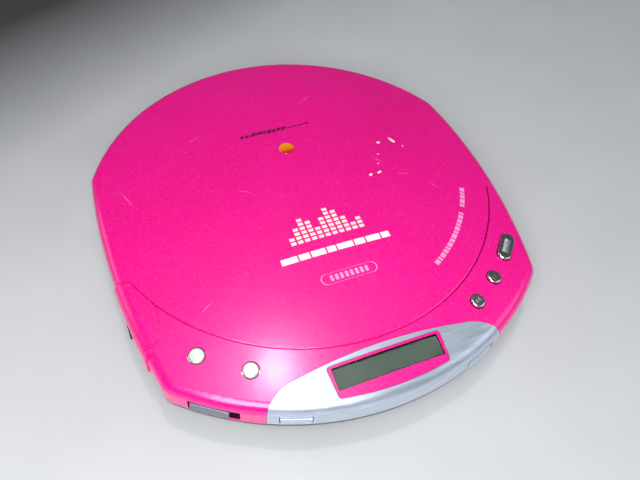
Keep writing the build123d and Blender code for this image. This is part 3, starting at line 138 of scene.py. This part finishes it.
def ramp(tree, value, stops):
    """Colour ramp over a value; stops are (position, grey or colour)."""
    node = tree.nodes.new("ShaderNodeValToRGB")
    elements = node.color_ramp.elements
    while len(elements) < len(stops):
        elements.new(0.5)
    for element, (position, colour) in zip(elements, stops):
        element.position = position
        element.color = (*colour, 1) if isinstance(colour, tuple) else (colour, colour, colour, 1)
    tree.links.new(value, node.inputs["Fac"])
    return node.outputs["Color"]


def mix(tree, factor, first, second):
    """Mix two colours by a factor socket; a colour is a socket or a tuple."""
    node = tree.nodes.new("ShaderNodeMix")
    node.data_type = "RGBA"
    for name, value in (("A", first), ("B", second)):
        socket = [entry for entry in node.inputs if entry.name == name and entry.type == "RGBA"][0]
        if isinstance(value, tuple):
            socket.default_value = (*value, 1)
        else:
            tree.links.new(value, socket)
    tree.links.new(factor, node.inputs[0])
    return [entry for entry in node.outputs if entry.type == "RGBA"][0]


def math_node(tree, operation, first, second=None, third=None):
    """One maths step; each operand is a socket or a number."""
    node = tree.nodes.new("ShaderNodeMath")
    node.operation = operation
    for socket, value in zip(node.inputs, (first, second, third)):
        if isinstance(value, (int, float)):
            socket.default_value = value
        elif value is not None:
            tree.links.new(value, socket)
    return node.outputs[0]


def product(tree, *factors):
    """All the factors multiplied together."""
    total = factors[0]
    for factor in factors[1:]:
        total = math_node(tree, "MULTIPLY", total, factor)
    return total


def plan_radius(tree, x, y, centre_y):
    """Distance in plan from an upright axis that crosses the y axis."""
    from_axis = math_node(tree, "SUBTRACT", y, centre_y)
    square = math_node(tree, "ADD", product(tree, x, x), product(tree, from_axis, from_axis))
    return math_node(tree, "SQRT", square)


def bump(tree, shader, height, distance, strength):
    """Bump the shader's normal from a height socket."""
    node = tree.nodes.new("ShaderNodeBump")
    node.inputs["Strength"].default_value = strength
    node.inputs["Distance"].default_value = distance
    tree.links.new(height, node.inputs["Height"])
    tree.links.new(node.outputs["Normal"], shader.inputs["Normal"])


def clear_coat(shader, weight, roughness):
    """Lay a clear coat over the shader."""
    shader.inputs["Coat Weight"].default_value = weight
    shader.inputs["Coat Roughness"].default_value = roughness


# ---------------------------------------------------------------- materials
PEEL_DEPTH = 0.05 * MM
PEEL_STRENGTH = 0.55
WELL_RINGS = 9000  # radians for each metre of radius: one ring every 0.7 mm
WELL_GLOSS = (0.5, 0.5, 0.5)
# Painted shade: a dark colour laid on the walls of the slider's slot.
SLOT_SHADE = linear(44, 30, 44)
BADGE_FADE = 185.0  # the fade from red to orange is 1 / 185 m long


def orange_peel(tree):
    """Height of the faint waviness of a gloss moulding."""
    return noise(tree, 520, 5, 0.65)


def pearl_pink(name):
    """Gloss pink plastic under a coat, with pearl clouds and specks and uneven gloss."""
    material, tree, shader = new_material(name)
    cloud = ramp(tree, noise(tree, 18), [(0.35, linear(248, 12, 140)), (0.7, linear(255, 15, 150))])
    speck = ramp(tree, noise(tree, 2600, 2), [(0.55, 0.0), (0.8, 1.0)])
    tree.links.new(mix(tree, speck, cloud, linear(255, 80, 160)), shader.inputs["Base Color"])
    shader.inputs["Metallic"].default_value = 0.06
    gloss = ramp(tree, noise(tree, 60, 6, 0.7), [(0.3, 0.20), (0.75, 0.34)])
    tree.links.new(gloss, shader.inputs["Roughness"])
    clear_coat(shader, 0.7, 0.19)
    bump(tree, shader, orange_peel(tree), PEEL_DEPTH, PEEL_STRENGTH)
    return material, tree, shader


def well_mask(tree):
    """1 inside the disc well and 0 outside, and the distance from the disc axis in metres."""
    x, y, z = axes(tree)
    radius = plan_radius(tree, x, y, DISC_Y)
    inside = math_node(tree, "LESS_THAN", radius, WELL_RADIUS)
    return product(tree, inside, math_node(tree, "LESS_THAN", z, WELL_RIM_Z)), radius


def slot_mask(tree):
    """1 on the walls of the slider's slot, a little inside the front wall's face, and 0 elsewhere."""
    x, y, z = axes(tree)
    radius = plan_radius(tree, x, y, FRONT_CENTRE_Y)
    return product(
        tree,
        math_node(tree, "LESS_THAN", radius, FRONT_RADIUS - SLOT_INSET),
        math_node(tree, "LESS_THAN", y, 0.0),
        math_node(tree, "COMPARE", x, SLOT_X, SLOT_HALF_LENGTH),
        math_node(tree, "COMPARE", z, SLOT_Z, SLOT_HALF_HEIGHT),
    )


def deck_pink():
    """Pink outside, a dark matt disc well with fine turned rings, and painted shade on the walls of the
    slot.
    """
    material, tree, shader = pearl_pink("deck_pink")
    in_well, radius = well_mask(tree)
    pink, gloss = (shader.inputs[name].links[0].from_socket for name in ("Base Color", "Roughness"))
    dark = ramp(tree, noise(tree, 70, 4), [(0.3, linear(52, 52, 56)), (0.8, linear(66, 66, 70))])
    colour = mix(tree, slot_mask(tree), mix(tree, in_well, pink, dark), SLOT_SHADE)
    tree.links.new(colour, shader.inputs["Base Color"])
    tree.links.new(mix(tree, in_well, gloss, WELL_GLOSS), shader.inputs["Roughness"])
    rings = product(tree, math_node(tree, "SINE", product(tree, radius, WELL_RINGS)), in_well, 0.4)
    height = math_node(tree, "ADD", rings, orange_peel(tree))
    bump(tree, shader, height, PEEL_DEPTH, PEEL_STRENGTH)
    return material


def brushed_silver(name):
    """Silver trim: fine sideways brushing under a clear coat."""
    material, tree, shader = new_material(name)
    streaks = noise(tree, 900, 4, 0.6, (0.05, 1.0, 1.0))
    colour = ramp(tree, streaks, [(0.25, linear(174, 188, 206)), (0.75, linear(212, 222, 236))])
    tree.links.new(colour, shader.inputs["Base Color"])
    shader.inputs["Metallic"].default_value = 0.6
    tree.links.new(ramp(tree, streaks, [(0.3, 0.3), (0.7, 0.38)]), shader.inputs["Roughness"])
    clear_coat(shader, 0.5, 0.08)
    bump(tree, shader, streaks, 0.01 * MM, 0.15)
    return material


def moulded(name, colour, rough=0.45, grain=1500, depth=0.03 * MM, metallic=0.0, coat=0.0):
    """Moulded plastic or plain metal with a fine grain and uneven gloss."""
    material, tree, shader = new_material(name)
    lighter = tuple(min(channel * 1.25 + 0.004, 1) for channel in colour)
    blotch = ramp(tree, noise(tree, 90, 4), [(0.3, colour), (0.75, lighter)])
    tree.links.new(blotch, shader.inputs["Base Color"])
    shader.inputs["Metallic"].default_value = metallic
    gloss = ramp(tree, noise(tree, 240, 5), [(0.3, rough * 0.8), (0.75, min(rough * 1.25, 1))])
    tree.links.new(gloss, shader.inputs["Roughness"])
    clear_coat(shader, coat, 0.05)
    bump(tree, shader, noise(tree, grain, 2), depth, 0.4)
    return material


def clear(name, colour, rough=0.04):
    """Clear or smoked plastic that lets light through, with faint smears."""
    material, tree, shader = new_material(name)
    darker = tuple(channel * 0.9 for channel in colour)
    tint = ramp(tree, noise(tree, 120, 4), [(0.35, colour), (0.8, darker)])
    tree.links.new(tint, shader.inputs["Base Color"])
    shader.inputs["Transmission Weight"].default_value = 1.0
    shader.inputs["IOR"].default_value = 1.3
    gloss = ramp(tree, noise(tree, 60, 5), [(0.35, rough), (0.8, rough * 2.5)])
    tree.links.new(gloss, shader.inputs["Roughness"])
    return material


def badge_enamel():
    """Orange enamel that deepens to red towards the front."""
    material, tree, shader = new_material("badge_enamel")
    y = axes(tree)["Y"]
    backwards = math_node(tree, "MULTIPLY_ADD", y, BADGE_FADE, 0.5 - BADGE_Y * BADGE_FADE)
    red, orange, amber = linear(206, 34, 42), linear(236, 128, 22), linear(242, 158, 30)
    tone = ramp(tree, backwards, [(0.22, red), (0.5, orange), (0.9, amber)])
    tree.links.new(tone, shader.inputs["Base Color"])
    shader.inputs["Roughness"].default_value = 0.25
    shader.inputs["Coat Weight"].default_value = 0.6
    bump(tree, shader, noise(tree, 900, 3), 0.02 * MM, 0.4)
    return material


MOULDED = {
    "grey_base": dict(
        colour=linear(72, 75, 74), rough=0.4, grain=1800, depth=0.04 * MM, metallic=0.3, coat=0.2
    ),
    "lcd_grey": dict(colour=linear(150, 162, 155), rough=0.35, grain=3000, depth=0.01 * MM),
    "chrome_button": dict(
        colour=linear(228, 230, 234), rough=0.14, grain=900, depth=0.01 * MM, metallic=1.0, coat=0.3
    ),
    "slider_grey": dict(
        colour=linear(112, 122, 134), rough=0.3, grain=1800, depth=0.02 * MM, metallic=0.75, coat=0.4
    ),
    "orange_badge": dict(colour=linear(238, 140, 20), rough=0.25, grain=900, depth=0.02 * MM, coat=0.6),
    "inner_plastic": dict(colour=linear(34, 34, 37), rough=0.5, grain=2200, depth=0.06 * MM),
    "white_plastic": dict(colour=linear(226, 226, 220)),
    "board_green": dict(colour=linear(22, 96, 54), rough=0.3, grain=900, depth=0.02 * MM, coat=0.4),
    "steel": dict(colour=linear(168, 168, 170), rough=0.32, grain=1600, depth=0.02 * MM, metallic=1.0),
    "rubber": dict(colour=linear(22, 22, 22), rough=0.8, grain=1400, depth=0.1 * MM),
    "cell_sleeve": dict(colour=linear(30, 34, 44), rough=0.35, grain=900, depth=0.02 * MM, coat=0.3),
}
MATERIALS = {
    "pink_shell": pearl_pink("pearl_pink")[0],
    "silver_trim": brushed_silver("brushed_silver"),
    "smoke_window": clear("smoke_window", linear(200, 208, 202)),
    "lens": clear("lens", linear(190, 205, 255)),
}
MATERIALS.update({name: moulded(name, **look) for name, look in MOULDED.items()})
# Painted reflection: the volume caps are the same chrome as the other deck buttons; this brighter, duller
# copy stands in for the bright light their tops reflect.
LIT_CHROME_CAP = moulded(
    "lit_chrome_cap", linear(216, 220, 210), rough=0.3, grain=1400, depth=0.02 * MM, metallic=0.6, coat=0.3
)
# Nodes that look different from the rest of their material slot.
OWN_LOOKS = {
    "upper_cabinet": deck_pink(),
    "volume_down_button": LIT_CHROME_CAP,
    "volume_up_button": LIT_CHROME_CAP,
    "lid_badge": badge_enamel(),
}
for entry in frame["record"]["subparts"]:
    node = entry["node"]
    materials = frame["nodes"][node].data.materials
    materials.clear()
    materials.append(OWN_LOOKS.get(node, MATERIALS[entry["material_slot"]]))


def add_piece(name, mesh, material, body):
    """Object for a finished mesh, riding on a body."""
    thing = bpy.data.objects.new(name, mesh)
    bpy.context.scene.collection.objects.link(thing)
    mesh.materials.append(material)
    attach(thing, body)


# ---------------------------------------------------------------- printed marks on the lid
INK_LIFT = 0.03 * MM
STRIP = 2 * MM
cream_ink = moulded("cream_ink", linear(250, 226, 214), rough=0.4)
white_ink = moulded("white_ink", linear(248, 240, 246), rough=0.4)
dark_ink = moulded("dark_ink", linear(104, 16, 66), rough=0.5)
pale_ink = moulded("pale_ink", linear(255, 150, 205), rough=0.4)
shuffle = random.Random(7)


def printed(name, outlines, material):
    """Thin printed patches lying on the crown, one for each plan outline."""
    mesh = bpy.data.meshes.new(name)
    work = bmesh.new()
    for outline in outlines:
        work.faces.new([work.verts.new((x, y, 0)) for x, y in outline])
    # Cut into narrow strips, so that long marks follow the crown.
    reach = math.ceil(max(abs(vertex.co.x) for vertex in work.verts) / STRIP)
    for step in range(-reach, reach + 1):
        geometry = work.verts[:] + work.edges[:] + work.faces[:]
        bmesh.ops.bisect_plane(work, geom=geometry, plane_co=(step * STRIP, 0, 0), plane_no=(1, 0, 0))
    bmesh.ops.triangulate(work, faces=work.faces[:])
    for vertex in work.verts:
        vertex.co = crown_point(vertex.co.x, vertex.co.y, INK_LIFT)
    work.to_mesh(mesh)
    work.free()
    add_piece(name, mesh, material, "lid_assembly")


def box_outline(x, y, width, height):
    """Corners of a small upright rectangle in plan, about its middle."""
    return [
        (x - width / 2, y - height / 2),
        (x + width / 2, y - height / 2),
        (x + width / 2, y + height / 2),
        (x - width / 2, y + height / 2),
    ]


def equaliser():
    """Row of bars, each a stack of short blocks."""
    heights = (2, 4, 6, 5, 3, 5, 7, 6, 4, 2, 3)
    first_x, first_y = -12.0, -19.8
    column_pitch, row_pitch = 2.25, 1.55
    blocks = []
    for column, height in enumerate(heights):
        for row in range(height):
            x = (first_x + column_pitch * column) * MM
            y = (first_y + row_pitch * row) * MM
            blocks.append(box_outline(x, y, 1.6 * MM, 1.05 * MM))
    printed("equaliser_print", blocks, cream_ink)


def block_row():
    """Row of plain blocks in front of the bars."""
    y, height, gap = -25.0, 2.1, 0.5
    x = -17.9
    blocks = []
    for width in (5.2, 3.4, 4.6, 2.8) * 2:
        blocks.append(box_outline((x + width / 2) * MM, y * MM, width * MM, height * MM))
        x += width + gap
    printed("bar_print", blocks, white_ink)


def band(points, width):
    """Quads of a closed band of the given width, inside a loop of plan points."""
    centre = sum((Vector(point) for point in points), Vector((0, 0))) / len(points)
    inner = [Vector(point) + (centre - Vector(point)).normalized() * width for point in points]
    count = len(points)
    return [[points[i], points[(i + 1) % count], inner[(i + 1) % count], inner[i]] for i in range(count)]


def pill(x, y, half_length, radius, steps=10):
    """Plan points round a pill shape."""
    points = []
    for side, start in ((1, -90), (-1, 90)):
        for step in range(steps + 1):
            turn = math.radians(start + 180 * step / steps)
            points.append((x + side * half_length + radius * math.cos(turn), y + radius * math.sin(turn)))
    return points


def pill_and_level():
    """Thin pill outline with a row of eight small bars in it."""
    y = -34.4 * MM
    printed("pill_print", band(pill(0, y, 7.2 * MM, 1.8 * MM), 0.32 * MM), pale_ink)
    first_x, pitch = -5.6, 1.6
    level = [box_outline((first_x + pitch * step) * MM, y, 0.95 * MM, 1.9 * MM) for step in range(8)]
    printed("level_print", level, pale_ink)


def arc_dash(radius, start, end, width, steps=8):
    """Outline of a short curved dash about the disc axis, angles in degrees from the front."""
    turns = [math.radians(start + (end - start) * step / steps) for step in range(steps + 1)]
    outer = [around_disc(radius + width / 2, turn) for turn in turns]
    inner = [around_disc(radius - width / 2, turn) for turn in reversed(turns)]
    return outer + inner


def curved_dashes():
    """Dashes of uneven length along the lid's right edge, in two groups; lengths are in degrees."""
    lengths = (
        1.7, 0.9, 1.9, 1.2, 0.9, 1.7, 1.4, 1.9, 0.9, 1.7,
        0.9, 1.7, 1.4, 0.9, 1.9, 1.2, 1.9, 1.4, 0.9, 1.7,
    )
    radius, width, space = 55.8 * MM, 1.55 * MM, 0.42
    gap_start, gap_end = 53.4, 56.0
    dashes = []
    angle = 29.0
    for length in lengths:
        if not gap_start < angle + length / 2 < gap_end:
            dashes.append(arc_dash(radius, angle, angle + length, width))
        angle += length + space
    printed("arc_print", dashes, pale_ink)


def worn_strokes():
    """Dark slanted strokes behind the badge, broken up by rubbing and thinner at the right."""
    x, end, thin_from, row_y = -13.2, 10.4, 3, 28.6
    strokes = []
    while x < end:
        width = shuffle.uniform(0.8, 2.4)
        height = shuffle.uniform(1.5, 2.5) * (1 if x < thin_from else 0.4)
        y = row_y + shuffle.uniform(-0.4, 0.4)
        slant = shuffle.uniform(0.2, 0.7)
        corners = (
            (x, y - height / 2),
            (x + width, y - height / 3),
            (x + width + slant, y + height / 2),
            (x + slant, y + height / 3),
        )
        strokes.append([(corner_x * MM, corner_y * MM) for corner_x, corner_y in corners])
        x += width + shuffle.uniform(0.1, 0.45)
    printed("worn_print", strokes, dark_ink)


def scratch(start, end, width):
    """Outline of one hair scratch, pointed at both ends, from sizes in millimetres."""
    first, last = Vector(start) * MM, Vector(end) * MM
    side = (last - first).orthogonal().normalized() * width * MM / 2
    middle = (first + last) / 2
    return [tuple(first), tuple(middle - side), tuple(last), tuple(middle + side)]


def chip(x, y, length, width, degrees, steps=9):
    """Uneven outline of a place where the gloss is knocked off, from sizes in millimetres."""
    turn = math.radians(degrees)
    points = []
    for step in range(steps):
        around = 2 * math.pi * step / steps
        along = length / 2 * math.cos(around) * shuffle.uniform(0.75, 1.1)
        across = width / 2 * math.sin(around) * shuffle.uniform(0.6, 1.2)
        points.append((
            (x + along * math.cos(turn) - across * math.sin(turn)) * MM,
            (y + along * math.sin(turn) + across * math.cos(turn)) * MM,
        ))
    return points


# Start, end and width of each hair scratch.
SCRATCHES = [
    ((-56.0, 20.3), (-53.0, 11.5), 0.12), ((-44.6, -32.0), (-40.0, -29.5), 0.12),
    ((12.0, 40.0), (19.0, 44.5), 0.09), ((-22.0, 6.0), (-17.0, 3.2), 0.09),
    ((-31.0, 33.0), (-24.5, 35.0), 0.08), ((40.0, -8.0), (43.0, -13.0), 0.09),
    ((26.0, 6.5), (29.5, 2.5), 0.1), ((31.0, -2.5), (35.5, -4.0), 0.09),
]
# Place, length, width and turn of each chip.
CHIPS = [
    (31.6, 12.6, 1.7, 1.2, 0), (36.9, 12.6, 3.6, 1.2, -68), (22.4, -1.1, 1.7, 1.0, 20),
    (25.6, -0.8, 2.4, 1.1, 25), (29.0, 7.2, 0.7, 0.5, 0), (27.0, 3.0, 0.6, 0.5, 0),
    (39.5, 9.0, 0.6, 0.5, 0),
]

equaliser()
block_row()
pill_and_level()
curved_dashes()
worn_strokes()
printed("lid_scratches", [scratch(*line) for line in SCRATCHES], pale_ink)
printed("lid_chips", [chip(*place) for place in CHIPS], cream_ink)

# ---------------------------------------------------------------- small raised detail on the buttons
MARK_LIFT = 0.74 * MM
RIDGE_LIFT = 0.75 * MM
RIDGE_PITCH = 0.62 * MM
RIDGE_SIZE = (0.18 * MM, 1.25 * MM, 0.22 * MM)
# Corners of a wedge along, across and up, in millimetres: three on the cap, then three above them.
WEDGE = ((0, -0.85, 0), (0.95, 0, 0), (0, 0.85, 0), (0.12, -0.6, 0.26), (0.72, 0, 0.26), (0.12, 0.6, 0.26))
WEDGE_FACES = ((3, 4, 5), (0, 1, 4, 3), (1, 2, 5, 4), (2, 0, 3, 5))


def cap_place(degrees, lift):
    """Middle of a deck button's cap, and its directions along the circle, across it and upwards."""
    turn = math.radians(degrees)
    x, y = around_disc(BUTTON_CIRCLE, turn)
    up = crown_normal(x, y)
    along = Vector((math.cos(turn), math.sin(turn), 0))
    return crown_point(x, y, lift), along, up.cross(along), up


def grip_ridges():
    """Ridges across the oblong button's cap, as rounded bars."""
    top, along, across, up = cap_place(PLAY_ANGLE, RIDGE_LIFT)
    length, width, height = RIDGE_SIZE
    shape = Matrix((along * length, across * width, up * height)).transposed().to_4x4()
    work = bmesh.new()
    for step in range(-4, 5):
        made = bmesh.ops.create_uvsphere(work, u_segments=12, v_segments=8, radius=1.0)
        centre = top + along * step * RIDGE_PITCH
        bmesh.ops.transform(work, verts=made["verts"], matrix=Matrix.Translation(centre) @ shape)
    mesh = bpy.data.meshes.new("play_ridges")
    work.to_mesh(mesh)
    work.free()
    mesh.shade_smooth()
    metal = moulded("ridge_metal", linear(150, 152, 158), 0.38, 900, 0.01 * MM, metallic=0.9, coat=0.2)
    add_piece("play_ridges", mesh, metal, "play")


def skip_mark(button, degrees, direction):
    """Two small raised wedges on a round button's cap, pointing along the button's circle."""
    top, along, across, up = cap_place(degrees, MARK_LIFT)
    work = bmesh.new()
    for start in (-0.95, 0.15):
        corners = [
            work.verts.new(top + (along * direction * (start + a) + across * direction * b + up * c) * MM)
            for a, b, c in WEDGE
        ]
        for face in WEDGE_FACES:
            work.faces.new([corners[corner] for corner in face])
    bmesh.ops.recalc_face_normals(work, faces=work.faces[:])
    mesh = bpy.data.meshes.new(button + "_mark")
    work.to_mesh(mesh)
    work.free()
    add_piece(button + "_mark", mesh, MATERIALS["chrome_button"], button)


grip_ridges()
skip_mark("skip_back", SKIP_BACK_ANGLE, -1)
skip_mark("skip_forward", SKIP_FORWARD_ANGLE, 1)


# ---------------------------------------------------------------- floor, light and camera
def floor():
    """Pale plain table top that falls away into shadow towards its far left corner."""
    half = 3.0
    corners = [(-half, -half, 0), (half, -half, 0), (half, half, 0), (-half, half, 0)]
    mesh = bpy.data.meshes.new("floor")
    mesh.from_pydata(corners, [], [(0, 1, 2, 3)])
    thing = bpy.data.objects.new("floor", mesh)
    bpy.context.scene.collection.objects.link(thing)
    material, tree, shader = new_material("floor_paint")
    pale = ramp(tree, noise(tree, 30, 5), [(0.3, (0.60, 0.615, 0.64)), (0.8, (0.64, 0.655, 0.68))])
    x, y, _ = axes(tree)
    towards_corner = product(tree, math_node(tree, "MULTIPLY_ADD", x, -0.5, y), 4.0)
    shadow = ramp(tree, towards_corner, [(0.26, 0.0), (0.46, 0.13), (0.6, 0.45), (0.82, 0.9)])
    tree.links.new(mix(tree, shadow, pale, (0.0, 0.0, 0.0)), shader.inputs["Base Color"])
    shader.inputs["Roughness"].default_value = 0.5
    bump(tree, shader, noise(tree, 700, 3), 0.1 * MM, 0.2)
    mesh.materials.append(material)


def area_light(name, place, size, power, target=(0, 0, 0), colour=(1, 1, 1)):
    """Soft square light aimed at a point."""
    data = bpy.data.lights.new(name, "AREA")
    data.size = size
    data.energy = power
    data.color = colour
    thing = bpy.data.objects.new(name, data)
    thing.location = place
    thing.rotation_euler = (Vector(target) - Vector(place)).to_track_quat("-Z", "Y").to_euler()
    bpy.context.scene.collection.objects.link(thing)


def world():
    """Dim grey surroundings with a soft bright patch of ceiling overhead."""
    scene_world = bpy.data.worlds.new("world")
    scene_world.use_nodes = True
    tree = scene_world.node_tree
    height = axes(tree, "Generated")["Z"]
    glow = ramp(tree, height, [(0.0, 0.07), (0.45, 0.035), (0.8, 0.05), (0.95, 0.2), (0.99, 1.0)])
    background = tree.nodes["Background"]
    background.inputs["Color"].default_value = (0.96, 0.98, 1.0, 1)
    tree.links.new(product(tree, glow, 1.6), background.inputs["Strength"])
    bpy.context.scene.world = scene_world


def camera():
    """Camera above the front left corner, turned to the right, tilted down at the lid and rolled."""
    pan, tilt, roll = (math.radians(degrees) for degrees in (27.083, 51.068, 6.181))
    data = bpy.data.cameras.new("camera")
    data.lens = 36.8
    data.sensor_width = 36.0
    thing = bpy.data.objects.new("camera", data)
    heading = Matrix.Rotation(-pan, 4, "Z") @ Matrix.Rotation(math.pi / 2 - tilt, 4, "X")
    place = Vector((-60.6, -131.7, 180.9)) * MM
    thing.matrix_world = Matrix.Translation(place) @ heading @ Matrix.Rotation(roll, 4, "Z")
    bpy.context.scene.collection.objects.link(thing)
    bpy.context.scene.camera = thing


floor()
world()
camera()
area_light("ceiling_lamp", (-0.012, 0.065, 1.0), size=0.06, power=1.1)
area_light("key", (-0.13, -0.23, 0.29), size=0.22, power=1.42, target=(-0.02, -0.02, 0))
area_light("fill", (0.6, -0.3, 0.5), size=0.5, power=0.9, colour=(0.86, 0.93, 1.0))
area_light("back_fill", (-0.68, 0.42, 0.26), size=0.4, power=0.5, target=(0, 0, 0.03))
bpy.context.scene.view_settings.view_transform = "Standard"
